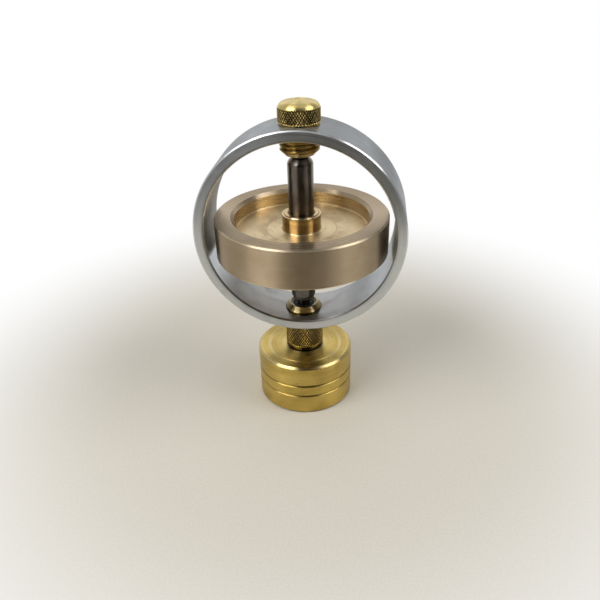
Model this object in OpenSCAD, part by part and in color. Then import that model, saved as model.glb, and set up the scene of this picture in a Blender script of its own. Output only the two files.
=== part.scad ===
// Gyroscope standing on a turned brass pedestal.
// The ring frame stands upright in the XZ plane and its bore runs along Y.
// The spin axis is Z, and the origin is the middle of the pedestal's foot.

/* [Pedestal] */
// Outside diameter of the pedestal
pedestal_d = 31.3; // [26:0.1:44]
// Height of the pedestal
pedestal_h = 18.1; // [15:0.1:30]
// Chamfer round the pedestal's top edge
pedestal_chamfer = 0.7; // [0.2:0.1:1.6]
// Edge break round the pedestal's foot
foot_break = 0.5; // [0.1:0.05:1]
// Height of the middle of the upper V groove
upper_groove_z = 10.8; // [9:0.1:12]
// Width of the upper V groove, which is twice its depth
upper_groove_w = 0.8; // [0.6:0.1:2.4]
// Height of the middle of the lower V groove
lower_groove_z = 6.9; // [3:0.1:7.5]
// Width of the lower V groove, which is twice its depth
lower_groove_w = 0.7; // [0.4:0.1:2]
// Diameter of the fine turned line on the pedestal's top face
face_line_d = 23.4; // [17:0.1:25]
// Width of the fine turned line
face_line_w = 0.35; // [0.2:0.05:0.8]
// Depth of the fine turned line
face_line_depth = 0.12; // [0.05:0.01:0.4]
// Depth of the socket that the gyroscope stands in
socket_depth = 0.95; // [0.6:0.05:1.6]
// Chamfer round the socket's mouth
socket_chamfer = 0.25; // [0.1:0.05:0.5]
// Gap all round between the socket's mouth and the rounded crown that stands in it
socket_clearance = 0.2; // [0.15:0.01:0.6]
// Gap between the socket's floor and the end of the screw head
seat_gap = 0.02; // [0.01:0.01:0.2]

/* [Ring frame] */
// Outside diameter of the ring
ring_od = 63.5; // [62:0.1:80]
// Thickness of the ring's wall
ring_wall = 3.3; // [2.4:0.05:3.6]
// Width of the ring along its bore
ring_w = 17.9; // [14:0.1:26]
// Edge break on the ring's four edges
ring_edge_break = 0.4; // [0.1:0.05:0.6]

/* [Bearing screws] */
// Diameter of the knurled heads
head_d = 12.3; // [12.2:0.1:16]
// Height of the knurled band on the upper screw
upper_knurl_h = 3.55; // [3:0.05:9]
// Height of the knurled band on the lower screw
lower_knurl_h = 9.1; // [6:0.05:14]
// Height of the rounded crown on each head, which is its corner radius
crown_h = 2.4; // [1.6:0.05:3]
// Chamfer on the head's edge beside the ring
head_edge_break = 0.2; // [0.1:0.05:0.5]
// Gap between a head's shoulder and the crest of the ring
shoulder_gap = 0.05; // [0.02:0.01:0.3]
// Diameter over the thread's crests
thread_d = 11.7; // [10.8:0.1:11.7]
// Pitch of the thread
thread_pitch = 1.25; // [0.5:0.05:1.75]
// Depth of the thread
thread_depth = 0.5; // [0.2:0.05:0.6]
// Gap all round between the thread's crests and its hole in the ring
thread_clearance = 0.05; // [0.02:0.01:0.1]
// Diameter of the flat end face of the nose
nose_d = 8.9; // [8.5:0.05:9.6]
// Length of the chamfer at the end of the nose
nose_chamfer_h = 1.5; // [0.5:0.05:1.6]
// How far the upper nose stands in from the ring's bore
upper_nose_reach = 5.6; // [3:0.1:8]
// How far the lower nose stands in from the ring's bore
lower_nose_reach = 2.2; // [2:0.05:6]

/* [Bearings] */
// Bore of each ball bearing
bearing_bore = 3; // [2.6:0.1:3.2]
// Outside diameter of each ball bearing
bearing_od = 8; // [7.8:0.1:8.2]
// Width of each ball bearing
bearing_w = 4; // [3.6:0.1:4.4]
// Diameter of the balls
ball_d = 1.588; // [1.3:0.001:1.6]
// Number of balls in each bearing
ball_count = 7; // [5:1:8]
// Gap all round between a ball and its grooves
ball_clearance = 0.02; // [0.01:0.01:0.05]
// Distance from the ball circle to the shoulder of each race
race_shoulder = 0.55; // [0.45:0.05:0.6]
// Thickness of the seals
seal_t = 0.25; // [0.15:0.05:0.35]
// Depth of the step in the outer race that holds a seal's rim
seal_step = 0.3; // [0.2:0.05:0.4]
// Gap between a seal and what is round it
seal_gap = 0.05; // [0.02:0.01:0.1]
// Thickness of the ball cage
cage_t = 0.6; // [0.4:0.05:0.7]
// Gap between a ball and its pocket in the cage
cage_gap = 0.06; // [0.03:0.01:0.1]
// Gap all round between the outer race and its pocket in the screw
pocket_fit = 0.02; // [0.01:0.01:0.05]
// Gap all round between the axle's journal and the inner race
journal_fit = 0.02; // [0.01:0.01:0.05]
// End gap between a race and the face that it seats on
end_play = 0.02; // [0.01:0.01:0.1]
// Depth of the lower bearing below the face of its nose
lower_bearing_set_back = 0.4; // [0.05:0.05:0.8]
// Depth of the upper bearing behind the face of its nose
upper_bearing_set_back = 0.75; // [0.05:0.05:4]
// Depth of the relief behind each bearing, for the end of the axle
relief_depth = 1; // [0.8:0.1:1.6]

/* [Flywheel] */
// Outside diameter of the flywheel
flywheel_d = 53; // [48:0.1:54]
// Height of the flywheel's rim
flywheel_h = 12.2; // [11:0.1:16]
// Diameter of the recess in each side of the flywheel
recess_d = 41; // [32:0.1:44]
// Depth of the recess in each side of the flywheel
recess_depth = 4.95; // [2:0.05:5]
// Chamfer round the mouth of each recess
recess_chamfer = 1; // [0.3:0.1:1.8]
// Radius in the corner of each recess floor
floor_fillet = 0.4; // [0.2:0.05:1]
// Edge break on the flywheel's rim
rim_edge_break = 0.5; // [0.2:0.05:1.2]
// Diameter of the flywheel's hub
hub_d = 11.8; // [11:0.1:16]
// How far the hub stands above the rim's faces
hub_proud = 0.3; // [0:0.05:1]
// Edge break on the hub's ends
hub_edge_break = 0.6; // [0.1:0.05:0.8]
// Chamfer in the hub's bore, round the axle
hub_bore_break = 0.3; // [0.1:0.05:0.5]
// Diameter of the fine turned line on each recess floor
floor_line_d = 38.6; // [30:0.1:39.4]
// Width of the fine turned line
floor_line_w = 0.3; // [0.2:0.05:0.8]
// Depth of the fine turned line
floor_line_depth = 0.1; // [0.05:0.01:0.4]

/* [Axle] */
// Diameter of the axle
axle_d = 7.7; // [7:0.05:7.8]
// Radius of the rounded shoulder at each end of the axle's plain middle
axle_shoulder_r = 2; // [1.8:0.05:2.4]
// Diameter of the neck beyond each shoulder
neck_d = 4.3; // [3.8:0.05:4.35]
// Length of the neck beyond each shoulder
neck_h = 1.9; // [1.5:0.05:4]
// How far each journal stands out of its inner race
journal_proud = 0.4; // [0.2:0.05:0.6]
// Edge break at the end of each journal
journal_break = 0.3; // [0.1:0.05:0.5]

/* [Hidden] */
$fn = 128;

BRASS = "#b9a05a";
BRONZE = "#8f7650";
ALUMINIUM = "#b5b5b3";
DARK_STEEL = "#3a3532";
BEARING_STEEL = "#9a9a98";
NYLON = "#d8d2c0";
RUBBER = "#1c1a18";

// Overlap that joins the parts of one section, and overshoot of a cut past a face
lap = 0.5;
full = 360;

// Levels, from the foot up
socket_floor_z = pedestal_h - socket_depth;
lower_end_z = socket_floor_z + seat_gap;
lower_shoulder_z = lower_end_z + crown_h + lower_knurl_h;
ring_bottom_z = lower_shoulder_z + shoulder_gap;
ring_mid_z = ring_bottom_z + ring_od / 2;
upper_shoulder_z = ring_bottom_z + ring_od + shoulder_gap;
bore_bottom_z = ring_bottom_z + ring_wall;
bore_top_z = ring_bottom_z + ring_od - ring_wall;
lower_nose_z = bore_bottom_z + lower_nose_reach;
upper_nose_z = bore_top_z - upper_nose_reach;

// Bearing faces, and the shoulders of the axle that run between them
lower_bearing_top_z = lower_nose_z - lower_bearing_set_back;
upper_bearing_bottom_z = upper_nose_z + upper_bearing_set_back;
lower_bearing_z = lower_bearing_top_z - bearing_w / 2;
upper_bearing_z = upper_bearing_bottom_z + bearing_w / 2;
axle_bottom_z = lower_bearing_top_z + end_play;
axle_top_z = upper_bearing_bottom_z - end_play;
axle_mid_z = (axle_bottom_z + axle_top_z) / 2;
axle_half_l = (axle_top_z - axle_bottom_z) / 2;

// Radii
pedestal_r = pedestal_d / 2;
ring_r = ring_od / 2;
bore_r = ring_r - ring_wall;
head_r = head_d / 2;
socket_r = crown_radius(socket_depth - seat_gap) + socket_clearance;
thread_r = thread_d / 2;
root_r = thread_r - thread_depth;
pocket_r = bearing_od / 2 + pocket_fit;
ball_circle_r = (bearing_bore + bearing_od) / 4;
groove_r = ball_d / 2 + ball_clearance;
inner_land_r = ball_circle_r - race_shoulder;
outer_land_r = ball_circle_r + race_shoulder;
seal_seat_r = outer_land_r + seal_step;
seal_recess = seal_t + seal_gap;
relief_r = outer_land_r - race_shoulder / 2;
hub_r = hub_d / 2;
axle_r = axle_d / 2;
neck_r = neck_d / 2;
journal_r = bearing_bore / 2 - journal_fit;
journal_h = bearing_w + end_play + journal_proud;

// Length of each screw from its shoulder to the end of its nose
upper_screw_l = upper_shoulder_z - upper_nose_z;
lower_screw_l = lower_nose_z - lower_shoulder_z;
// Depth of each bearing pocket behind the face of the nose
upper_pocket_depth = upper_bearing_set_back + bearing_w + end_play;
lower_pocket_depth = lower_bearing_set_back + bearing_w + end_play;
// Chamfer round the mouth of a bearing pocket
pocket_chamfer = 0.15;
// Plain relief beside the shoulder, where the thread runs out
thread_relief = 0.7;

// Radius of the rounded crown at a height above its flat end
function crown_radius(h) =
    head_r - crown_h + sqrt(pow(crown_h, 2) - pow(crown_h - min(h, crown_h), 2));

// Section through half of a disc or tube, with its outer corners cut at 45 degrees
module disc_section(r_in, r_out, z0, z1, cut)
    polygon([[r_in, z0], [r_out - cut, z0], [r_out, z0 + cut],
             [r_out, z1 - cut], [r_out - cut, z1], [r_in, z1]]);

// V notch cut into a cylinder of radius r
module v_notch(r, z, w)
    polygon([[r + lap, z - w / 2 - lap], [r + lap, z + w / 2 + lap], [r - w / 2, z]]);

// Points down the flank of a thread that starts at height s0 and has n turns
function thread_points(s0, n) = [
    for (i = [0 : n - 1]) each [
        [root_r, s0 + i * thread_pitch],
        [thread_r, s0 + (i + 7 / 16) * thread_pitch],
        [thread_r, s0 + (i + 9 / 16) * thread_pitch]],
    [root_r, s0 + n * thread_pitch]];

// Half section of a bearing screw: its shoulder at 0, its nose up and its head below
module screw_section(knurl_h, screw_l, pocket_depth) {
    turns = floor((screw_l - thread_relief - nose_chamfer_h) / thread_pitch);
    crown_z = -knurl_h - crown_h;
    pocket_z = screw_l - pocket_depth;
    difference() {
        union() {
            polygon(concat(
                [[0, -knurl_h], [head_r, -knurl_h], [head_r, -head_edge_break],
                 [head_r - head_edge_break, 0], [root_r, 0]],
                thread_points(thread_relief, turns),
                [[thread_r, screw_l - nose_chamfer_h], [nose_d / 2, screw_l], [0, screw_l]]));
            translate([0, crown_z]) square([head_r - crown_h, crown_h + lap]);
            intersection() {
                translate([head_r - crown_h, -knurl_h]) circle(crown_h);
                translate([0, crown_z]) square([head_r, crown_h]);
            }
        }
        translate([0, pocket_z]) square([pocket_r, pocket_depth + lap]);
        translate([0, pocket_z - relief_depth]) square([relief_r, relief_depth + lap]);
        polygon([[0, screw_l - pocket_chamfer], [pocket_r, screw_l - pocket_chamfer],
                 [pocket_r + pocket_chamfer + lap, screw_l + lap], [0, screw_l + lap]]);
    }
}

// Turned brass foot with two V grooves, a fine line on its face and a shallow socket
module pedestal()
    color(BRASS) rotate_extrude(full) difference() {
        polygon([[0, 0], [pedestal_r - foot_break, 0], [pedestal_r, foot_break],
                 [pedestal_r, pedestal_h - pedestal_chamfer],
                 [pedestal_r - pedestal_chamfer, pedestal_h], [0, pedestal_h]]);
        v_notch(pedestal_r, upper_groove_z, upper_groove_w);
        v_notch(pedestal_r, lower_groove_z, lower_groove_w);
        translate([face_line_d / 2 - face_line_w / 2, pedestal_h - face_line_depth])
            square([face_line_w, lap]);
        translate([0, socket_floor_z]) square([socket_r, socket_depth + lap]);
        polygon([[0, pedestal_h - socket_chamfer], [socket_r, pedestal_h - socket_chamfer],
                 [socket_r + socket_chamfer + lap, pedestal_h + lap], [0, pedestal_h + lap]]);
    }

// Upright ring, tapped through its top and bottom for the two bearing screws
module ring_frame()
    color(ALUMINIUM) translate([0, 0, ring_mid_z]) difference() {
        rotate([90, 0, 0]) rotate_extrude(full) polygon([
            [bore_r, -ring_w / 2 + ring_edge_break], [bore_r + ring_edge_break, -ring_w / 2],
            [ring_r - ring_edge_break, -ring_w / 2], [ring_r, -ring_w / 2 + ring_edge_break],
            [ring_r, ring_w / 2 - ring_edge_break], [ring_r - ring_edge_break, ring_w / 2],
            [bore_r + ring_edge_break, ring_w / 2], [bore_r, ring_w / 2 - ring_edge_break]]);
        cylinder(r = thread_r + thread_clearance, h = ring_od + 2 * lap, center = true);
    }

module upper_bearing_screw()
    color(BRASS) translate([0, 0, upper_shoulder_z]) mirror([0, 0, 1])
        rotate_extrude(full) screw_section(upper_knurl_h, upper_screw_l, upper_pocket_depth);

module lower_bearing_screw()
    color(BRASS) translate([0, 0, lower_shoulder_z])
        rotate_extrude(full) screw_section(lower_knurl_h, lower_screw_l, lower_pocket_depth);

// Recess in one side of the flywheel, as a half section with its floor at 0
module recess_section() {
    wall_r = recess_d / 2;
    difference() {
        translate([hub_r, 0]) square([wall_r - hub_r, recess_depth + lap]);
        translate([wall_r - floor_fillet, 0]) difference() {
            square(floor_fillet + lap);
            translate([0, floor_fillet]) circle(floor_fillet);
            translate([-lap, floor_fillet]) square(floor_fillet + 2 * lap);
        }
        translate([hub_r, 0]) difference() {
            square(floor_fillet);
            translate([floor_fillet, floor_fillet]) circle(floor_fillet);
        }
    }
    polygon([[wall_r - lap, recess_depth - recess_chamfer], [wall_r, recess_depth - recess_chamfer],
             [wall_r + recess_chamfer + lap, recess_depth + lap], [wall_r - lap, recess_depth + lap]]);
}

// Heavy-rimmed wheel with a thin web and a hub pressed on the axle
module flywheel() {
    half_h = flywheel_h / 2;
    hub_half_h = half_h + hub_proud;
    color(BRONZE) translate([0, 0, axle_mid_z]) rotate_extrude(full) difference() {
        union() {
            disc_section(axle_r, flywheel_d / 2, -half_h, half_h, rim_edge_break);
            disc_section(axle_r, hub_r, -hub_half_h, hub_half_h, hub_edge_break);
        }
        for (side = [0, 1]) mirror([0, side]) {
            translate([0, half_h - recess_depth]) recess_section();
            translate([floor_line_d / 2 - floor_line_w / 2, half_h - recess_depth - floor_line_depth])
                square([floor_line_w, lap]);
            polygon([[0, hub_half_h - hub_bore_break], [axle_r, hub_half_h - hub_bore_break],
                     [axle_r + hub_bore_break + lap, hub_half_h + lap], [0, hub_half_h + lap]]);
        }
    }
}

// Half section of the upper half of the axle, from its middle to the end of its journal
module axle_section() {
    shoulder_z = axle_half_l - neck_h;
    end_z = axle_half_l + journal_h;
    intersection() {
        translate([axle_r - axle_shoulder_r, shoulder_z - axle_shoulder_r]) circle(axle_shoulder_r);
        square([axle_r, shoulder_z]);
    }
    polygon([[0, 0], [neck_r, 0], [neck_r, axle_half_l], [journal_r, axle_half_l],
             [journal_r, end_z - journal_break], [journal_r - journal_break, end_z], [0, end_z]]);
}

// Dark steel axle: plain middle, a rounded shoulder, a neck and a journal at each end
module axle() {
    plain_h = axle_half_l - neck_h - axle_shoulder_r;
    color(DARK_STEEL) translate([0, 0, axle_mid_z]) rotate_extrude(full) {
        translate([0, -plain_h]) square([axle_r, 2 * plain_h]);
        for (end = [0, 1]) mirror([0, end]) axle_section();
    }
}

// The bearing pieces below are drawn round the middle of the bearing, with its front face up
module outer_race()
    color(BEARING_STEEL) rotate_extrude(full) difference() {
        translate([outer_land_r, -bearing_w / 2])
            square([bearing_od / 2 - outer_land_r, bearing_w]);
        translate([ball_circle_r, 0]) circle(groove_r);
        for (side = [0, 1]) mirror([0, side]) translate([0, bearing_w / 2 - seal_recess])
            square([seal_seat_r, seal_recess + lap]);
    }

module inner_race()
    color(BEARING_STEEL) rotate_extrude(full) difference() {
        translate([bearing_bore / 2, -bearing_w / 2])
            square([inner_land_r - bearing_bore / 2, bearing_w]);
        translate([ball_circle_r, 0]) circle(groove_r);
    }

// Snap-in crown cage: the balls click into pockets that are open on one side
module ball_cage() {
    lip = ball_d / 4;
    back = ball_d * 3 / 4;
    color(NYLON) difference() {
        rotate_extrude(full) translate([ball_circle_r - cage_t / 2, -back])
            square([cage_t, back + lip]);
        for (i = [1 : ball_count]) at_ball(i) sphere(ball_d / 2 + cage_gap);
    }
}

// One seal, just inside the front face of the bearing
module seal()
    color(RUBBER) translate([0, 0, bearing_w / 2 - seal_t]) difference() {
        cylinder(r = seal_seat_r - seal_gap / 2, h = seal_t - seal_gap / 2);
        translate([0, 0, -lap]) cylinder(r = inner_land_r + seal_gap, h = seal_t + 2 * lap);
    }

module at_ball(i) rotate(i * full / ball_count) translate([ball_circle_r, 0, 0]) children();

module ball(i) color(BEARING_STEEL) at_ball(i) sphere(ball_d / 2);

// The upper bearing's front faces down, and the lower one's faces up, both towards the flywheel
module in_bearing(end)
    translate([0, 0, end == "upper" ? upper_bearing_z : lower_bearing_z])
        mirror([0, 0, end == "upper" ? 1 : 0]) children();

module bearing_piece(end, piece)
    in_bearing(end) {
        if (piece == "outer_race") outer_race();
        if (piece == "inner_race") inner_race();
        if (piece == "ball_cage") ball_cage();
        if (piece == "front_seal") seal();
        if (piece == "back_seal") mirror([0, 0, 1]) seal();
    }

pedestal();
ring_frame();
upper_bearing_screw();
lower_bearing_screw();
flywheel();
axle();
for (end = ["upper", "lower"]) {
    for (piece = ["outer_race", "inner_race", "ball_cage", "front_seal", "back_seal"])
        bearing_piece(end, piece);
    for (i = [1 : ball_count])
        in_bearing(end) ball(i);
}
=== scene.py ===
"""Looks of the gyroscope on its brass stand: metals, detailed bearing screws, camera and light.

Lengths are written in millimetres. They become metres where a mesh, a lamp or the camera is made.
The gyroscope stands on the origin, its spin axis is Z, and the ring's bore runs along Y.
"""

import math

import bpy
from mathutils import Matrix, Vector


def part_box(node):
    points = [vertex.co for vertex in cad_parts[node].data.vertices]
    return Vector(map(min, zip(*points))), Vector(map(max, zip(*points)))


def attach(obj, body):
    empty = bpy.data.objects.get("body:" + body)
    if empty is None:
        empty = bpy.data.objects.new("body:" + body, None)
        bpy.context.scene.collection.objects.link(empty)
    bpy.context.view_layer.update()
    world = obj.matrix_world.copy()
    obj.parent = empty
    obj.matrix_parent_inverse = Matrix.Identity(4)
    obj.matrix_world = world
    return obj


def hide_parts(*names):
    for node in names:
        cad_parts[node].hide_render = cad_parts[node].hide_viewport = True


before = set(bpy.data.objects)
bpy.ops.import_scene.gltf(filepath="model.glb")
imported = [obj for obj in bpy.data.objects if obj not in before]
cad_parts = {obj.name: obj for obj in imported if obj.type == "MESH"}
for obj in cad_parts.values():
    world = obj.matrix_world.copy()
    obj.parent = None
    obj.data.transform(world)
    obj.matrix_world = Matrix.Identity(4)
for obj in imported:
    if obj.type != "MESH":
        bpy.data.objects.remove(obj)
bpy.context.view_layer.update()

MM = 0.001
TURN = 2 * math.pi
Z_AXIS = Vector((0, 0, 1))

# Levels of the CAD solids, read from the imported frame
RING_LOW, RING_HIGH = [corner.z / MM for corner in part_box("ring_frame")]
UPPER_NOSE_Z, UPPER_TOP_Z = [corner.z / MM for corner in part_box("upper_bearing_screw")]
LOWER_END_Z, LOWER_NOSE_Z = [corner.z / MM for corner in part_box("lower_bearing_screw")]
PEDESTAL_TOP_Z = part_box("pedestal")[1].z / MM
FLYWHEEL_LOW_Z, FLYWHEEL_TOP_Z = [corner.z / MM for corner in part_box("flywheel")]
RING_MID_Z = (RING_LOW + RING_HIGH) / 2
FLYWHEEL_MID_Z = (FLYWHEEL_LOW_Z + FLYWHEEL_TOP_Z) / 2

# Radii and half widths of the CAD solids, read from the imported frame
PEDESTAL_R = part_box("pedestal")[1].x / MM
FLYWHEEL_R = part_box("flywheel")[1].x / MM
HEAD_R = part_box("upper_bearing_screw")[1].x / MM
RING_R = (RING_HIGH - RING_LOW) / 2
RING_HALF_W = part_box("ring_frame")[1].y / MM

# Sizes inside the CAD solids, as in the CAD model
RING_WALL = 3.3
RING_BORE_R = RING_R - RING_WALL
RING_BREAK = 0.4
PEDESTAL_CHAMFER = 0.7
FACE_LINE_R = 11.7
SOCKET_LIP_R = 6.0
WALL_R = 20.5
RECESS_FLOOR = 1.15
RIM_BREAK = 0.5
HUB_R = 5.9
HUB_PROUD = 0.3
HUB_BREAK = 0.6
RIM_HALF_W = (FLYWHEEL_TOP_Z - FLYWHEEL_LOW_Z) / 2 - HUB_PROUD
AXLE_R = 3.85
NECK_R = 2.15

# Bearing screws, as in the CAD model, but with a domed crown and a shallower thread
CROWN_R = 2.4
CROWN_DOME = 0.15
HEAD_EDGE_BREAK = 0.2
SHOULDER_GAP = 0.05
CREST_R = 5.85
ROOT_R = 5.45
THREAD_PITCH = 1.25
THREAD_START = 0.7
NOSE_R = 4.45
NOSE_CHAMFER = 1.5
POCKET_R = 4.02
POCKET_CHAMFER = 0.15
RELIEF_R = 3.03
RELIEF_DEPTH = 1.0
UPPER_POCKET_DEPTH = 4.77
LOWER_POCKET_DEPTH = 4.42

# Thread form: the share of the pitch that stays flat at the crest, and the run-out at the nose
THREAD_FLAT = 1 / 8
THREAD_RUNOUT = 0.2

# Diamond knurl: two crossing families of V grooves, at about 33 degrees to the axis. Its tips are cut
# off at a share of their full height, and every second groove is shallower by a share of its depth.
KNURL_COUNT = 48
KNURL_RISE = 1.25
KNURL_DEPTH = 0.28
KNURL_TIP = 0.86
KNURL_TRACKING = 0.2
KNURL_COLLAR = 0.4
UPPER_KNURL_END = 1.7
LOWER_KNURL_END = 2.8

# Fineness of the screws' meshes
STEPS_PER_TOOTH = 8
STEPS_PER_PITCH = 12
SHANK_SHARE = 3
DOME_STEP = 0.4
CORNER_STEP = math.pi / 40
EDGE_STEP = 0.1
SHARP_ANGLE = 28


# ---------------------------------------------------------------- bearing screws

def triangle_wave(phase):
    """0 at whole numbers, 1 halfway between them."""
    return 1 - abs(2 * (phase % 1) - 1)


def groove_line(phase):
    """Height between two V grooves of one family, from 0 in a deep groove to 1."""
    height = triangle_wave(phase)
    shallow = KNURL_TRACKING * (1 - height) * (round(phase) % 2)
    return height + shallow


def knurl_radius(angle, z):
    """Radius of the knurl at an angle and height, from the two crossing families."""
    turn = KNURL_COUNT * angle / TURN
    height = min(groove_line(turn + z / KNURL_RISE), groove_line(turn - z / KNURL_RISE), KNURL_TIP)
    return HEAD_R - KNURL_DEPTH * (KNURL_TIP - height)


def knurl_between(low, high):
    """Cutting surface of a knurl that ends at two levels."""
    return lambda angle, z: knurl_radius(angle, z) if low < z < high else HEAD_R


def thread_to(end):
    """Cutting surface of a right-hand thread that fades in at the shoulder and out at an end level."""
    def radius(angle, z):
        flank = triangle_wave(z / THREAD_PITCH - angle / TURN) / (1 - THREAD_FLAT)
        fade_in = max((z - THREAD_START / 2) / THREAD_START, 0)
        fade_out = max((end - z) / THREAD_RUNOUT, 0)
        depth = (CREST_R - ROOT_R) * (1 - min(flank, 1))
        return CREST_R - depth * min(fade_in, fade_out, 1)
    return radius


def levels(start, end, step):
    """Evenly spaced levels from start to end, both included. A rounding error adds no level."""
    count = max(1, math.ceil((end - start) / step - 1e-6))
    return [start + (end - start) * i / count for i in range(count + 1)]


def crown_outline(end_z):
    """Outline of the rounded crown, from the axis to the side of the head."""
    centre_r, centre_z = HEAD_R - CROWN_R, end_z + CROWN_R
    dome = [(r, end_z + CROWN_DOME * (r / centre_r) ** 2) for r in levels(0, centre_r, DOME_STEP)[1:]]
    corner = []
    for angle in levels(0, TURN / 4, CORNER_STEP)[1:]:
        corner.append((centre_r + CROWN_R * math.sin(angle),
                       centre_z - (CROWN_R - CROWN_DOME) * math.cos(angle)))
    return dome + corner


def head_outline(end_z):
    """Outline of the head from the axis at its end to its edge break beside the ring, at level 0."""
    step = KNURL_RISE / STEPS_PER_TOOTH
    side = [(HEAD_R, z) for z in levels(end_z + CROWN_R, -HEAD_EDGE_BREAK, step)[1:]]
    edge = [(HEAD_R - HEAD_EDGE_BREAK - z, z) for z in levels(-HEAD_EDGE_BREAK, 0, EDGE_STEP)[1:]]
    return crown_outline(end_z) + side + edge


def shank_outline(length):
    """Outline of the thread and the chamfered nose, before the thread's groove is cut."""
    points = []
    for z in levels(0, length, THREAD_PITCH / STEPS_PER_PITCH):
        into_chamfer = max(0, z - (length - NOSE_CHAMFER)) / NOSE_CHAMFER
        points.append((CREST_R + (NOSE_R - CREST_R) * into_chamfer, z))
    return points


def pocket_outline(length, depth):
    """Outline of the bearing pocket and the relief behind it, from the nose face to the axis."""
    floor_z, relief_z = length - depth, length - depth - RELIEF_DEPTH
    mouth = [(POCKET_R + POCKET_CHAMFER, length), (POCKET_R, length - POCKET_CHAMFER)]
    return mouth + [(POCKET_R, floor_z), (RELIEF_R, floor_z), (RELIEF_R, relief_z)]


class Lathe:
    """Collects rings of points round the Z axis and the faces between them."""

    def __init__(self):
        self.points = []
        self.faces = []

    def ring(self, outline_point, count, cut=None):
        """Adds one ring. Where a cutting surface is nearer to the axis, the ring follows it."""
        radius, z = outline_point
        start = len(self.points)
        for i in range(count):
            angle = TURN * i / count
            r = radius if cut is None else min(radius, cut(angle, z))
            self.points.append((r * math.cos(angle), r * math.sin(angle), z))
        return range(start, start + count)

    def join(self, inner, outer):
        """Joins two rings. The first has a whole number of points for each one of the second."""
        share = len(inner) // len(outer)
        for i in range(len(outer)):
            fine = [inner[(i * share + k) % len(inner)] for k in range(share + 1)]
            self.faces.append(fine + [outer[(i + 1) % len(outer)], outer[i]])

    def close(self, ring, z, last):
        """Closes the first or the last ring with a fan to a point on the axis."""
        self.points.append((0, 0, z))
        pole = len(self.points) - 1
        for i, point in enumerate(ring):
            after = ring[(i + 1) % len(ring)]
            self.faces.append((point, after, pole) if last else (after, point, pole))

    def band(self, outline, count, cut=None, after=None):
        """Adds a ring for each point of an outline, joined to each other and to the ring before."""
        first = None
        for outline_point in outline:
            ring = self.ring(outline_point, count, cut)
            first = first or ring
            if after is not None:
                self.join(after, ring)
            after = ring
        return first, after


def mesh_piece(name, points, faces):
    """A mesh object in metres, smooth shaded except at its sharp edges."""
    mesh = bpy.data.meshes.new(name)
    mesh.from_pydata([Vector(p) * MM for p in points], [], faces)
    mesh.shade_smooth()
    mesh.set_sharp_from_angle(angle=math.radians(SHARP_ANGLE))
    mesh.update()
    piece = bpy.data.objects.new(name, mesh)
    bpy.context.scene.collection.objects.link(piece)
    return piece


def bearing_screw(name, shoulder_z, end_z, nose_z, knurl_end, pocket_depth):
    """A knurled and threaded screw with a bearing pocket, drawn shoulder at 0 and nose up."""
    length, head_end = abs(nose_z - shoulder_z), -abs(end_z - shoulder_z)
    fine = KNURL_COUNT * STEPS_PER_TOOTH
    coarse = fine // SHANK_SHARE
    lathe = Lathe()
    knurl = knurl_between(head_end + knurl_end, -KNURL_COLLAR)
    first, edge = lathe.band(head_outline(head_end), fine, knurl)
    lathe.close(first, head_end, last=False)
    _, nose = lathe.band(shank_outline(length), coarse, thread_to(length - NOSE_CHAMFER), edge)
    _, relief = lathe.band(pocket_outline(length, pocket_depth), coarse, None, nose)
    lathe.close(relief, length - pocket_depth - RELIEF_DEPTH, last=True)
    flip = math.copysign(1, nose_z - shoulder_z)
    placed = [(x, flip * y, shoulder_z + flip * z) for x, y, z in lathe.points]
    piece = mesh_piece(name, placed, lathe.faces)
    mark_knurl(piece, shoulder_z, flip, head_end + knurl_end)
    return piece


def mark_knurl(piece, shoulder_z, flip, knurl_end):
    """Gives the faces of the knurled band the second material slot."""
    for face in piece.data.polygons:
        x, y, z = face.center / MM
        along = flip * (z - shoulder_z)
        outside = math.hypot(x, y) > HEAD_R - 2 * KNURL_DEPTH
        face.material_index = int(outside and knurl_end < along < -KNURL_COLLAR)


# ---------------------------------------------------------------- node trees

# Sockets of the Mix node for colours
MIX_A, MIX_B, MIX_RESULT = 6, 7, 2

MARKS_DETAIL = 2.0


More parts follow.
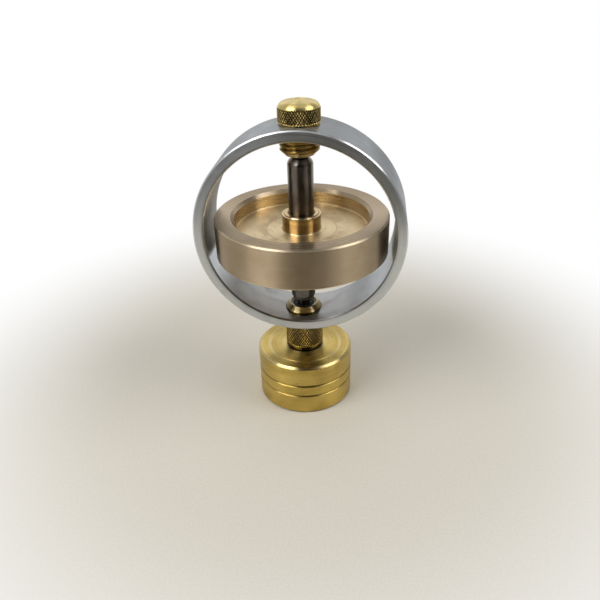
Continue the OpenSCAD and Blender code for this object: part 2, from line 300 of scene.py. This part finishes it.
class Tree:
    """A shader node tree, with short ways to add nodes. A value is a number or another node's output."""

    def __init__(self, owner):
        owner.use_nodes = True
        self.nodes = owner.node_tree.nodes
        self.links = owner.node_tree.links
        self.nodes.clear()

    def new(self, kind, **settings):
        node = self.nodes.new("ShaderNode" + kind)
        for key, value in settings.items():
            setattr(node, key, value)
        return node

    def feed(self, socket, value):
        """Links an output to the socket, or writes a constant on it."""
        if isinstance(value, bpy.types.NodeSocket):
            self.links.new(value, socket)
        else:
            socket.default_value = value

    def math(self, operation, *values):
        node = self.new("Math", operation=operation)
        for socket, value in zip(node.inputs, values):
            self.feed(socket, value)
        return node.outputs[0]

    def chain(self, operation, values):
        total = values[0]
        for value in values[1:]:
            total = self.math(operation, total, value)
        return total

    def plus(self, *values):
        return self.chain("ADD", values)

    def times(self, *values):
        return self.chain("MULTIPLY", values)

    def most(self, *values):
        return self.chain("MAXIMUM", values)

    def rest(self, mask):
        """What a mask leaves over."""
        return self.math("SUBTRACT", 1.0, mask)

    def length(self, a, b):
        """Length of the hypotenuse of two distances."""
        return self.math("SQRT", self.plus(self.times(a, a), self.times(b, b)))

    def fit(self, value, low, high, to_low=0.0, to_high=1.0):
        """Maps low to high onto to_low to to_high, smoothly and clamped."""
        node = self.new("MapRange", interpolation_type="SMOOTHSTEP")
        for key, number in zip(("Value", "From Min", "From Max", "To Min", "To Max"),
                               (value, low, high, to_low, to_high)):
            self.feed(node.inputs[key], number)
        return node.outputs["Result"]

    def mix(self, factor, a, b):
        """Mixes two colours."""
        node = self.new("Mix", data_type="RGBA")
        self.feed(node.inputs["Factor"], factor)
        for socket, colour in ((node.inputs[MIX_A], a), (node.inputs[MIX_B], b)):
            self.feed(socket, colour if isinstance(colour, bpy.types.NodeSocket) else (*colour, 1))
        return node.outputs[MIX_RESULT]

    def combine(self, *values):
        node = self.new("CombineXYZ")
        for socket, value in zip(node.inputs, values):
            self.feed(socket, value)
        return node.outputs[0]

    def seen_directly(self):
        """1 for rays from the camera, also through something clear."""
        rays = self.new("LightPath")
        return self.most(rays.outputs["Is Camera Ray"], rays.outputs["Is Transmission Ray"])

    def seen_in_gloss(self):
        """1 for rays that a glossy surface reflects."""
        return self.new("LightPath").outputs["Is Glossy Ray"]


class Finish(Tree):
    """One material, for a piece that was turned round an axis. Its marks are circles round that axis.

    Distances in the tree are millimetres. The colour and the roughness are built up in layers.
    """

    def __init__(self, name, axis="Z", centre_z=0.0, metallic=1.0):
        self.material = bpy.data.materials.new(name)
        super().__init__(self.material)
        self.shader = self.new("BsdfPrincipled")
        self.shader.inputs["Metallic"].default_value = metallic
        self.surface = self.new("OutputMaterial").inputs["Surface"]
        self.feed(self.surface, self.shader.outputs["BSDF"])
        self.axis = axis
        self.place(centre_z)
        self.colour = None
        self.roughness = None

    def place(self, centre_z):
        """Finds the distance from the axis and along it, and the direction round it."""
        moved = self.new("Mapping")
        self.feed(moved.inputs["Vector"], self.new("TexCoord").outputs["Object"])
        moved.inputs["Location"].default_value = (0, 0, -centre_z)
        moved.inputs["Scale"].default_value = (1 / MM,) * 3
        self.point = moved.outputs[0]
        parts = self.new("SeparateXYZ")
        self.feed(parts.inputs[0], self.point)
        x, y, z = parts.outputs
        across, self.along = (y, z) if self.axis == "Z" else (z, y)
        self.radius = self.length(x, across)
        self.round_x = self.math("DIVIDE", x, self.radius)
        self.round_y = self.math("DIVIDE", across, self.radius)

    def noise(self, vector, per_mm, detail, roughness=0.5):
        node = self.new("TexNoise")
        self.feed(node.inputs["Vector"], vector)
        for key, number in zip(("Scale", "Detail", "Roughness"), (per_mm, detail, roughness)):
            self.feed(node.inputs[key], number)
        return node.outputs["Fac"]

    def drift(self, per_mm, detail=3.0, roughness=0.5):
        """Noise with no direction."""
        return self.noise(self.point, per_mm, detail, roughness)

    def marks(self, per_mm, wander=0.4):
        """Noise that runs in circles round the axis, as a turning tool leaves it."""
        reach = wander / per_mm
        vector = self.combine(self.plus(self.radius, self.times(self.round_x, reach)),
                              self.along,
                              self.times(self.round_y, reach))
        return self.noise(vector, per_mm, MARKS_DETAIL)

    def edge(self, radius, level, width):
        """1 on the circle where an edge lies, falling to 0 at a distance from it."""
        off_r = self.math("SUBTRACT", self.radius, radius)
        off_z = self.math("SUBTRACT", self.along, level)
        return self.fit(self.length(off_r, off_z), width, 0)

    def edges(self, circles, width):
        """The strongest of several edges, given as pairs of radius and level."""
        return self.most(*[self.edge(radius, level, width) for radius, level in circles])

    def blend(self, mask, at_0, at_1):
        """Goes from one value to another as a mask goes from 0 to 1."""
        return self.fit(mask, 0, 1, at_0, at_1)

    def paint(self, colour, mask, strength=1.0):
        """Lays a colour over the colour so far."""
        factor = mask if strength == 1.0 else self.times(mask, strength)
        self.colour = self.mix(factor, self.colour, colour)

    def roughen(self, mask, amount):
        self.roughness = self.plus(self.roughness, self.times(mask, amount))

    def brushed(self, amount):
        """Stretches the gloss across the turning marks."""
        tangent = self.new("Tangent", direction_type="RADIAL", axis=self.axis)
        self.feed(self.shader.inputs["Tangent"], tangent.outputs[0])
        self.shader.inputs["Anisotropic"].default_value = amount
        self.shader.inputs["Anisotropic Rotation"].default_value = STRETCH_TURN

    def done(self, height, depth):
        """Puts the layers on the shader, with a bump that is at most depth millimetres deep."""
        bump = self.new("Bump")
        self.feed(bump.inputs["Distance"], depth * MM)
        self.feed(bump.inputs["Height"], height)
        self.feed(self.shader.inputs["Base Color"], self.colour)
        self.feed(self.shader.inputs["Roughness"], self.roughness)
        self.feed(self.shader.inputs["Normal"], bump.outputs["Normal"])
        return self.material


# ---------------------------------------------------------------- materials

# Ends of the ramps that make masks from noise, whose values lie mostly near a half
WIDE = (0.3, 0.7)
SOFT = (0.35, 0.65)
SPARSE = (0.45, 0.8)

# Stretch of the gloss on turned metal, and the share of a turn that lays it across the marks
TURNED_STRETCH = 0.95
RING_STRETCH = 0.85
STRETCH_TURN = 0.25


def both_sides(radius, level):
    """The same circle above and below the middle."""
    return [(radius, level), (radius, -level)]


BRASS_DEEP = (0.50, 0.35, 0.085)
BRASS = (0.67, 0.485, 0.13)
BRASS_PALE = (0.84, 0.69, 0.32)
# Crown colour, painted paler as a highlight of the light from above
CROWN_GOLD = (0.90, 0.71, 0.28)
# Pale edge colour: wear, and a painted highlight on the pedestal's lips and the nose chamfers
LIP_WEAR_AND_HIGHLIGHT = (0.95, 0.84, 0.54)
SCREW_BROWN = (0.30, 0.17, 0.06)
BRASS_TARNISH = (0.36, 0.24, 0.08)
# Dark colour: old oil in thread and knurl, and painted shade in grooves, gaps, seams and sockets
OIL_AND_SHADE = (0.045, 0.034, 0.012)

# Levels between the two screws: all of the upper one is above them
BETWEEN_SCREWS = (RING_HIGH - 11, RING_HIGH - 10)

# Levels and radii over which painted shade begins on the pedestal: below its face, at its foot, in its
# socket
BELOW_FACE = (12, 11.5)
AT_FOOT = (0.5, 0.2)
IN_SOCKET = (5.9, 5.7)


def brass_layers(finish, pale, gloss):
    """Drifting tone, a painted sheen where the caller asks, tool marks and stains. Gives back the tool
    marks.
    """
    marks = finish.marks(2.2)
    stains = finish.fit(finish.drift(0.5, 4.0), 0.58, 0.75, 0, 0.4)
    finish.colour = finish.mix(finish.fit(finish.drift(0.12), *SOFT), BRASS_DEEP, BRASS)
    # Painted sheen where the caller asks
    finish.paint(BRASS_PALE, pale, 0.8)
    finish.paint(BRASS_PALE, finish.fit(marks, *SPARSE), 0.25)
    finish.paint(BRASS_TARNISH, stains)
    finish.roughness = finish.fit(marks, *WIDE, *gloss)
    finish.roughen(stains, 0.1)
    return marks


def pedestal_brass():
    """Turned brass: the top face painted paler in turned rings as a sheen of the light from above, pale
    edges that are worn and carry a painted highlight, and painted shade in the grooves, at the foot and in
    the socket.
    """
    finish = Finish("pedestal_brass")
    # The top face is painted paler in turned rings: a painted sheen of the light from above
    top = finish.fit(finish.along, PEDESTAL_TOP_Z - 0.5, PEDESTAL_TOP_Z - 0.1)
    rings = finish.fit(finish.marks(0.8, 0.1), 0.42, 0.62, 0.15, 0.6)
    marks = brass_layers(finish, finish.times(top, rings), (0.27, 0.34))
    # Painted shade: darker in the grooves, a dark line at the foot, and the socket round the lower screw
    in_groove = finish.times(finish.fit(finish.radius, PEDESTAL_R - 0.05, PEDESTAL_R - 0.25),
                             finish.fit(finish.along, *BELOW_FACE))
    foot = finish.fit(finish.along, *AT_FOOT)
    socket = finish.fit(finish.radius, *IN_SOCKET)
    darkening = finish.most(finish.times(in_groove, 0.55), finish.times(foot, 0.7), finish.times(socket, 0.9))
    finish.paint(OIL_AND_SHADE, darkening)
    chamfer = PEDESTAL_R - PEDESTAL_CHAMFER / 2, PEDESTAL_TOP_Z - PEDESTAL_CHAMFER / 2
    lips = [chamfer, (FACE_LINE_R, PEDESTAL_TOP_Z), (SOCKET_LIP_R, PEDESTAL_TOP_Z)]
    # Pale edges: wear, and a painted highlight on the chamfer, the face line and the socket lip
    finish.paint(LIP_WEAR_AND_HIGHLIGHT, finish.edges(lips, 0.45), 0.5)
    finish.roughen(in_groove, 0.12)
    finish.brushed(TURNED_STRETCH)
    return finish.done(marks, 0.005)


def nose_chamfers(finish):
    """1 round the chamfer of the upper nose, and a half round the duller lower one: where a highlight is
    painted.
    """
    lower = finish.fit(finish.along, LOWER_NOSE_Z - NOSE_CHAMFER, LOWER_NOSE_Z - 1.2, 0, 0.5)
    upper_screw = finish.fit(finish.along, *BETWEEN_SCREWS)
    below_thread = finish.fit(finish.along, UPPER_NOSE_Z + 1.3, UPPER_NOSE_Z + 1.0)
    return finish.times(finish.most(lower, upper_screw), below_thread)


def screw_oil_and_shade(finish, chamfer):
    """Oil in the thread, the pocket darkened, and painted shade where the screws meet the ring and the
    pedestal.
    """
    bore_z, thread_end_z = RING_LOW + RING_WALL, LOWER_NOSE_Z - NOSE_CHAMFER
    in_thread = finish.times(finish.fit(finish.radius, CREST_R - 0.05, ROOT_R), 0.7, finish.rest(chamfer))
    in_pocket = finish.times(finish.fit(finish.radius, POCKET_R + 0.05, POCKET_R - 0.1, 0, 0.9),
                             finish.fit(finish.along, UPPER_TOP_Z - 3, UPPER_TOP_Z - 4))
    # Painted shadow: a dark crescent where the lower nose leaves the ring's bore
    seam = finish.times(finish.fit(finish.along, bore_z - 0.5, bore_z - 0.1),
                        finish.fit(finish.along, thread_end_z + 0.2, thread_end_z), 0.85)
    # Painted shade on the upper head's collar just above the ring
    collar = finish.times(finish.fit(finish.along, RING_HIGH + 1.0, RING_HIGH + 0.5),
                          finish.fit(finish.along, RING_HIGH - 0.2, RING_HIGH, 0, 0.45))
    # Painted shade on the lower head where it sits in the pedestal's socket
    in_socket = finish.fit(finish.along, PEDESTAL_TOP_Z + 2.2, PEDESTAL_TOP_Z + 1.4, 0, 0.9)
    return finish.most(in_thread, in_pocket, seam, collar, in_socket)


def screw_brass():
    """Polished crown and nose with painted highlights, brown shank, oil in the thread, and painted shade at
    the seams and at the foot.
    """
    finish = Finish("screw_brass")
    crown = finish.fit(finish.along, UPPER_TOP_Z - CROWN_R, UPPER_TOP_Z - 1)
    shank = finish.fit(finish.radius, HEAD_R - 0.1, HEAD_R - 0.3)
    chamfer = finish.times(nose_chamfers(finish), shank)
    marks = brass_layers(finish, chamfer, (0.21, 0.28))
    finish.paint(SCREW_BROWN, finish.times(shank, finish.rest(chamfer)), 0.6)
    # Painted highlight on the nose chamfers
    finish.paint(LIP_WEAR_AND_HIGHLIGHT, chamfer, 0.6)
    # Oil in the thread, and painted shade at the seams and the foot
    finish.paint(OIL_AND_SHADE, screw_oil_and_shade(finish, chamfer))
    # The crown painted paler: a painted highlight of the light from above
    finish.paint(CROWN_GOLD, crown, 0.95)
    finish.roughen(crown, 0.06)
    finish.brushed(TURNED_STRETCH)
    return finish.done(marks, 0.003)


def knurled_brass():
    """Brass that was rolled, not brushed: bright tips, and old oil between them with painted shade, more of
    it on the lower knurl.
    """
    finish = Finish("knurled_brass")
    drift = finish.drift(0.9, 4.0, 0.65)
    # Old oil in the valleys with painted shade: the lower knurl, in the ring's shade, is darkened wider
    filled_r = finish.fit(finish.along, RING_LOW, RING_HIGH, HEAD_R - 0.12, HEAD_R - 0.16)
    darkening = finish.times(finish.fit(finish.radius, HEAD_R - 0.07, filled_r),
                        finish.fit(drift, 0.25, 0.6, 0.88, 1.0))
    tips = finish.times(finish.fit(finish.radius, HEAD_R - 0.09, HEAD_R - 0.04),
                        finish.fit(drift, 0.4, 0.6, 0.4, 1.0))
    finish.colour = finish.mix(finish.fit(drift, *SOFT), BRASS_TARNISH, BRASS_DEEP)
    finish.paint(BRASS_PALE, tips)
    # Oil and painted shade in the valleys
    finish.paint(OIL_AND_SHADE, darkening)
    finish.roughness = finish.fit(drift, *WIDE, 0.16, 0.26)
    finish.roughen(darkening, 0.2)
    return finish.done(drift, 0.02)


BRONZE_DEEP = (0.36, 0.26, 0.15)
BRONZE = (0.49, 0.385, 0.26)
BRONZE_GOLD = (0.80, 0.59, 0.29)
BRONZE_PALE = (0.88, 0.75, 0.52)
BRONZE_TARNISH = (0.36, 0.24, 0.13)
# Painted highlight colour for the hub's chamfer and foot
BRONZE_HIGHLIGHT = (0.95, 0.84, 0.60)
HUB_GOLD = (0.68, 0.51, 0.24)

# Stained band of the recess floor: it starts at a tool line and fades towards the rim
TOOL_LINE_R = 10.7
STAINED_BAND_END = (16, 11)


def flywheel_bronze():
    """Satin bronze. The recess is golden, its hub is polished and its floor is stained."""
    finish = Finish("flywheel_bronze", centre_z=FLYWHEEL_MID_Z)
    drift = finish.drift(0.10)
    marks = finish.marks(2.4)
    height = finish.math("ABSOLUTE", finish.along)
    outside = finish.fit(finish.radius, FLYWHEEL_R - 0.7, FLYWHEEL_R - 0.4)
    inside = finish.fit(finish.radius, WALL_R + 0.15, WALL_R - 0.1)
    floor = finish.times(inside, finish.fit(height, RECESS_FLOOR + 0.4, RECESS_FLOOR + 0.1))
    stains = bronze_stains(finish, floor)
    turned = finish.times(finish.fit(marks, *SPARSE), finish.blend(outside, 0.25, 0.1))
    lips = both_sides(FLYWHEEL_R - RIM_BREAK / 2, RIM_HALF_W - RIM_BREAK / 2)
    finish.colour = finish.mix(finish.fit(drift, *SOFT), BRONZE_DEEP, BRONZE)
    finish.paint(BRONZE, finish.fit(drift, 0.25, 0.7, 0.55, 0.85))
    finish.paint(BRONZE_GOLD, inside, 0.9)
    finish.paint(BRONZE_PALE, floor, 0.5)
    finish.paint(BRONZE_PALE, turned)
    # Pale rim edges: wear, and a painted highlight
    finish.paint(BRONZE_PALE, finish.edges(lips, 0.45), 0.7)
    finish.paint(BRONZE_TARNISH, stains)
    finish.roughness = finish.fit(marks, *WIDE, 0.26, 0.33)
    finish.roughen(outside, 0.13)
    finish.roughen(stains, 0.1)
    finish.roughen(floor, 0.05)
    polish_hub(finish)
    finish.brushed(TURNED_STRETCH)
    return finish.done(marks, 0.005)


def bronze_stains(finish, floor):
    """Tarnish on the recess floor: blotches, a stained band and the line where the tool was changed."""
    blotches = finish.fit(finish.drift(0.45, 6.0, 0.7), 0.5, 0.75, 0, 0.5)
    band = finish.times(finish.fit(finish.radius, TOOL_LINE_R - 0.3, TOOL_LINE_R),
                        finish.fit(finish.radius, *STAINED_BAND_END),
                        finish.fit(finish.drift(0.2, 4.0), 0.4, 0.6, 0, 0.45))
    line = finish.times(finish.edges(both_sides(TOOL_LINE_R, RECESS_FLOOR), 0.3), 0.45)
    return finish.times(finish.most(band, line, blotches), finish.blend(floor, 0.25, 1))


def polish_hub(finish):
    """Golden hub with dark tool bands, and painted highlight lines at its chamfer and round its foot."""
    hub = finish.fit(finish.radius, HUB_R + 0.3, HUB_R + 0.1)
    bands = finish.times(hub, finish.fit(finish.marks(1.3, 0.1), 0.42, 0.6, 0.6, 0))
    chamfer = both_sides(HUB_R - HUB_BREAK / 2, RIM_HALF_W + HUB_PROUD - HUB_BREAK / 2)
    foot = both_sides(HUB_R, RECESS_FLOOR)
    finish.paint(HUB_GOLD, hub, 0.9)
    finish.paint(BRONZE_TARNISH, bands)
    # Painted highlight lines at the chamfer and round the foot
    finish.paint(BRONZE_HIGHLIGHT, finish.edges(chamfer + foot, 0.4), 0.85)
    finish.roughen(hub, -0.08)


ALUMINIUM = (0.42, 0.43, 0.44)
ALUMINIUM_DULL = (0.30, 0.307, 0.315)
ALUMINIUM_BRIGHT = (0.76, 0.79, 0.81)
# Painted highlight colour of the ring's outer edges
ALUMINIUM_EDGE_HIGHLIGHT = (0.93, 0.95, 0.97)
ALUMINIUM_GRAZING = (0.58, 0.59, 0.60)
# Dark colour of the ring's inner edges low down
RING_INNER_DARK = (0.10, 0.085, 0.075)


def ring_aluminium():
    """Brushed aluminium: pale bore, lined faces, a painted highlight on the outer edges, and the inner
    edges darker towards the bottom.
    """
    finish = Finish("ring_aluminium", axis="Y", centre_z=RING_MID_Z)
    marks = finish.marks(1.5, 0.2)
    across = finish.math("ABSOLUTE", finish.along)
    face = finish.fit(across, RING_HALF_W - 0.3, RING_HALF_W - 0.05)
    bore = finish.fit(finish.radius, RING_BORE_R + 0.4, RING_BORE_R + 0.1)
    outer = finish.fit(finish.radius, RING_R - 0.3, RING_R - 0.1)
    lines = finish.times(finish.fit(marks, 0.44, 0.58), finish.blend(face, 0.15, 0.7))
    edge_z = RING_HALF_W - RING_BREAK / 2
    outer_lips = finish.edges(both_sides(RING_R - RING_BREAK / 2, edge_z), 0.4)
    inner_lips = finish.edges(both_sides(RING_BORE_R + RING_BREAK / 2, edge_z), 0.5)
    low_down = finish.fit(finish.round_y, 0.2, -0.5)
    finish.colour = finish.mix(finish.fit(finish.drift(0.08), *WIDE), ALUMINIUM_DULL, ALUMINIUM)
    finish.paint(ALUMINIUM_BRIGHT, bore, 0.8)
    finish.paint(ALUMINIUM_BRIGHT, outer, 0.35)
    finish.paint(ALUMINIUM_BRIGHT, lines)
    # Painted highlight along the outer edges
    finish.paint(ALUMINIUM_EDGE_HIGHLIGHT, outer_lips, 0.9)
    # The inner edges darker towards the bottom
    finish.paint(RING_INNER_DARK, finish.times(inner_lips, low_down), 0.7)
    finish.roughness = finish.fit(marks, *WIDE, 0.34, 0.28)
    finish.roughen(finish.fit(finish.drift(0.22), 0.5, 0.75), 0.08)
    finish.brushed(RING_STRETCH)
    finish.shader.inputs["Specular Tint"].default_value = (*ALUMINIUM_GRAZING, 1)
    return finish.done(marks, 0.005)


AXLE_DARK = (0.13, 0.115, 0.105)
AXLE_GREY = (0.24, 0.215, 0.19)
# Lighter colour painted on the shoulders against their shade
AXLE_PAINTED_LIGHT = (0.40, 0.36, 0.33)
STEEL_GREY = (0.42, 0.42, 0.43)
STEEL_BRIGHT = (0.62, 0.62, 0.63)
# Dark colour: greasy necks with painted shade on the axle, and oil on the bearings' outer races
GREASE_AND_SHADE = (0.02, 0.018, 0.016)

# Radii over which a bearing's outer race gets oily
OILED_RACE = (3.5, 3.8)


def axle_steel():
    """Ground dark steel, with shoulders painted lighter against their shade, and greasy necks beside the
    bearings with painted shade on them.
    """
    finish = Finish("axle_steel")
    marks = finish.marks(1.6, 0.2)
    tone = finish.fit(finish.drift(0.3), 0.35, 0.7, 0.2, 0.8)
    shoulder = finish.fit(finish.radius, AXLE_R - 0.1, AXLE_R - 0.5, 0, 0.8)
    grease_and_shade = finish.fit(finish.radius, NECK_R + 0.4, NECK_R + 0.1, 0, 0.9)
    finish.colour = finish.mix(tone, AXLE_DARK, AXLE_GREY)
    finish.paint(AXLE_GREY, finish.fit(marks, 0.5, 0.8), 0.15)
    # Painted light on the shoulders
    finish.paint(AXLE_PAINTED_LIGHT, shoulder)
    # Greasy necks with painted shade
    finish.paint(GREASE_AND_SHADE, grease_and_shade)
    finish.roughness = finish.fit(marks, *WIDE, 0.22, 0.25)
    finish.roughen(grease_and_shade, 0.2)
    finish.roughen(shoulder, 0.25)
    finish.brushed(TURNED_STRETCH)
    return finish.done(marks, 0.0005)


def bearing_steel():
    """Polished races and balls, with oil on the outer race."""
    finish = Finish("bearing_steel")
    drift = finish.drift(0.5)
    marks = finish.marks(6.0)
    oil = finish.times(finish.fit(finish.radius, *OILED_RACE),
                       finish.fit(drift, 0.3, 0.6, 0.95, 0.7))
    finish.colour = finish.mix(finish.fit(drift, *WIDE), STEEL_GREY, STEEL_BRIGHT)
    finish.paint(GREASE_AND_SHADE, oil)
    finish.roughness = finish.fit(marks, *WIDE, 0.12, 0.22)
    return finish.done(marks, 0.003)


NYLON = ((0.62, 0.56, 0.42), (0.74, 0.70, 0.58))
RUBBER = ((0.012, 0.011, 0.010), (0.032, 0.028, 0.025))


def moulded(name, colours, tone_per_mm, grain, gloss, depth):
    """A moulded plastic whose tone drifts between two colours. Its grain is a scale and a detail."""
    finish = Finish(name, metallic=0.0)
    grain = finish.drift(*grain)
    finish.colour = finish.mix(finish.fit(finish.drift(tone_per_mm), *WIDE), *colours)
    finish.roughness = finish.fit(grain, *WIDE, *gloss)
    return finish.done(grain, depth)


def cage_nylon():
    return moulded("cage_nylon", NYLON, 0.8, (12.0, 2.0), (0.45, 0.6), 0.006)


def seal_rubber():
    return moulded("seal_rubber", RUBBER, 1.2, (14.0, 3.0), (0.5, 0.72), 0.008)


# ---------------------------------------------------------------- floor

CARD = (0.70, 0.66, 0.57)
CARD_PALE = (0.74, 0.70, 0.61)
CARD_ROUGHNESS = 0.85
FLOOR_HALF = 240
FLOOR_FRONT = -160

# Distances from the object, and the depth behind it, over which the floor turns white
FLOOR_FADE = (60, 160)
REFLECTED_FADE = (110, 220)
REFLECTED_BEHIND = (-30, 60)


def floor_card():
    """Pale warm card that fades into the white background away from the object."""
    finish = Finish("floor_card", metallic=0.0)
    grain = finish.drift(1.5)
    finish.colour = finish.mix(finish.fit(grain, *WIDE), CARD, CARD_PALE)
    finish.roughness = CARD_ROUGHNESS
    finish.done(grain, 0.01)
    behind = finish.fit(finish.times(finish.round_y, finish.radius), *REFLECTED_BEHIND)
    reflected = finish.times(finish.seen_in_gloss(), behind, finish.fit(finish.radius, *REFLECTED_FADE))
    seen = finish.times(finish.seen_directly(), finish.fit(finish.radius, *FLOOR_FADE))
    faded = finish.new("MixShader")
    for socket, value in zip(faded.inputs, (finish.most(seen, reflected), finish.shader.outputs[0],
                                            finish.new("Emission").outputs[0])):
        finish.feed(socket, value)
    finish.feed(finish.surface, faded.outputs[0])
    return finish.material


def floor():
    """Flat card under the object. It ends in front of it, so that the metal reflects the dim room there."""
    corners = [(-FLOOR_HALF, FLOOR_FRONT, 0), (FLOOR_HALF, FLOOR_FRONT, 0),
               (FLOOR_HALF, FLOOR_HALF, 0), (-FLOOR_HALF, FLOOR_HALF, 0)]
    piece = mesh_piece("floor", corners, [(0, 1, 2, 3)])
    piece.data.materials.append(floor_card())


# ---------------------------------------------------------------- camera and light

# Camera, solved from the photograph's outlines. It looks at the middle of the ring, then turns a little.
CAMERA_DISTANCE = 188.77
CAMERA_AZIMUTH = 0.11707
CAMERA_ELEVATION = 0.41310
CAMERA_PITCH = -0.11895
CAMERA_YAW = 0.00617
CAMERA_ROLL = 0.02655
FOCAL_PIXELS = 613.03
FRAME_PIXELS = 600
SENSOR_WIDTH = 36
CLIP_START = 0.01

# Lamps: name, azimuth and elevation in degrees, distance, width and height, watts
LAMPS = (
    ("left_softbox", -48, 45, 450, (280, 250), 1.0),
    ("right_softbox", 80, 45, 450, (260, 250), 0.7),
    ("back_softbox", 180, 30, 600, (800, 300), 0.38),
    ("top_softbox", 0, 88, 500, (300, 300), 0.15),
)
LAMPS_AIM_Z = 50

# Room that the metal reflects: its brightness from left to right, and its dim part round the camera
ROOM_LEFT, ROOM_RIGHT = 0.5, 0.28
ROOM_SPAN = (-0.8, 0.8)
DIM_SIDE = (0.124, -0.992)
DIM_EDGE = (0.74, 0.95)
DIM_SHARE = 0.06

# Part of the background that is white in reflections: how far back and how low it lies
BACKDROP_BEHIND = (0.1, 0.75)
BACKDROP_LOW = (0.15, -0.05)


def direction_to(azimuth, elevation):
    """Unit vector for two angles in radians. Azimuth 0 is in front, and grows to the right."""
    level = math.cos(elevation)
    return Vector((math.sin(azimuth) * level, -math.cos(azimuth) * level, math.sin(elevation)))


def turned_round(vector, axis, angle):
    return Matrix.Rotation(angle, 3, axis) @ vector


def camera_axes(back):
    """The camera's right, up and forward directions after its pitch, yaw and roll."""
    forward = -back
    right = forward.cross(Z_AXIS).normalized()
    up = right.cross(forward)
    forward, up = turned_round(forward, right, CAMERA_PITCH), turned_round(up, right, CAMERA_PITCH)
    forward, right = turned_round(forward, up, CAMERA_YAW), turned_round(right, up, CAMERA_YAW)
    right, up = turned_round(right, forward, CAMERA_ROLL), turned_round(up, forward, CAMERA_ROLL)
    return right, up, forward


def photo_camera():
    """The photograph's camera."""
    back = direction_to(CAMERA_AZIMUTH, CAMERA_ELEVATION)
    right, up, forward = camera_axes(back)
    data = bpy.data.cameras.new("photo_camera")
    data.sensor_width = SENSOR_WIDTH
    data.lens = FOCAL_PIXELS * SENSOR_WIDTH / FRAME_PIXELS
    data.clip_start = CLIP_START
    camera = bpy.data.objects.new("photo_camera", data)
    place = (Vector((0, 0, RING_MID_Z)) + back * CAMERA_DISTANCE) * MM
    camera.matrix_world = Matrix.Translation(place) @ Matrix((right, up, -forward)).transposed().to_4x4()
    bpy.context.scene.collection.objects.link(camera)
    bpy.context.scene.camera = camera


def softbox(name, azimuth, elevation, distance, size, watts):
    """White rectangular lamp aimed at the object."""
    data = bpy.data.lights.new(name, "AREA")
    data.shape = "RECTANGLE"
    data.size, data.size_y = size[0] * MM, size[1] * MM
    data.energy = watts
    lamp = bpy.data.objects.new(name, data)
    away = direction_to(math.radians(azimuth), math.radians(elevation))
    lamp.location = (away * distance + Vector((0, 0, LAMPS_AIM_Z))) * MM
    lamp.rotation_euler = away.to_track_quat("Z", "Y").to_euler()
    bpy.context.scene.collection.objects.link(lamp)


def room_light(tree, x, y):
    """Light of the room in a level direction: brighter at the window's side, dim round the camera."""
    facing = tree.plus(tree.times(x, DIM_SIDE[0]), tree.times(y, DIM_SIDE[1]))
    off_camera = tree.fit(tree.math("DIVIDE", facing, tree.length(x, y)), *DIM_EDGE, 1.0, DIM_SHARE)
    return tree.times(off_camera, tree.fit(x, *ROOM_SPAN, ROOM_LEFT, ROOM_RIGHT))


def studio_world():
    """White background, also where gloss reflects what lies low behind the object, in a dim room."""
    world = bpy.data.worlds.new("studio")
    tree = Tree(world)
    parts = tree.new("SeparateXYZ")
    tree.feed(parts.inputs[0], tree.new("TexCoord").outputs["Generated"])
    x, y, z = parts.outputs
    low_behind = tree.times(tree.fit(y, *BACKDROP_BEHIND), tree.fit(z, *BACKDROP_LOW))
    backdrop = tree.times(tree.seen_in_gloss(), low_behind)
    background = tree.new("Background")
    background.inputs["Color"].default_value = (1, 1, 1, 1)
    strength = tree.most(tree.seen_directly(), backdrop, room_light(tree, x, y))
    tree.feed(background.inputs["Strength"], strength)
    tree.feed(tree.new("OutputWorld").inputs["Surface"], background.outputs[0])
    bpy.context.scene.world = world


# ---------------------------------------------------------------- the object

def dress_screw(name, levels_z, knurl_end, pocket_depth, body, finishes):
    """Draws a screw in place of its plain CAD node."""
    piece = bearing_screw(name, *levels_z, knurl_end, pocket_depth)
    for finish in finishes:
        piece.data.materials.append(finish)
    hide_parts(name.replace("knurled", "bearing"))
    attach(piece, body)


def dress_screws():
    finishes = screw_brass(), knurled_brass()
    dress_screw("upper_knurled_screw", (RING_HIGH + SHOULDER_GAP, UPPER_TOP_Z, UPPER_NOSE_Z),
                UPPER_KNURL_END, UPPER_POCKET_DEPTH, "upper_screw", finishes)
    dress_screw("lower_knurled_screw", (RING_LOW - SHOULDER_GAP, LOWER_END_Z, LOWER_NOSE_Z),
                LOWER_KNURL_END, LOWER_POCKET_DEPTH, "lower_screw", finishes)


def dress_nodes():
    """Gives each CAD node that stays the finish of its record slot."""
    finishes = {"pedestal_brass": pedestal_brass(), "flywheel_bronze": flywheel_bronze(),
                "ring_aluminium": ring_aluminium(), "axle_steel": axle_steel(),
                "bearing_steel": bearing_steel(), "cage_nylon": cage_nylon(),
                "seal_rubber": seal_rubber()}
    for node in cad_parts.values():
        slot = node.data.materials[0].name.split(".")[0]
        if slot in finishes:
            node.data.materials[0] = finishes[slot]


def main():
    bpy.context.scene.view_settings.view_transform = "Standard"
    dress_nodes()
    dress_screws()
    floor()
    photo_camera()
    studio_world()
    for lamp in LAMPS:
        softbox(*lamp)


main()
bpy.context.view_layer.update()
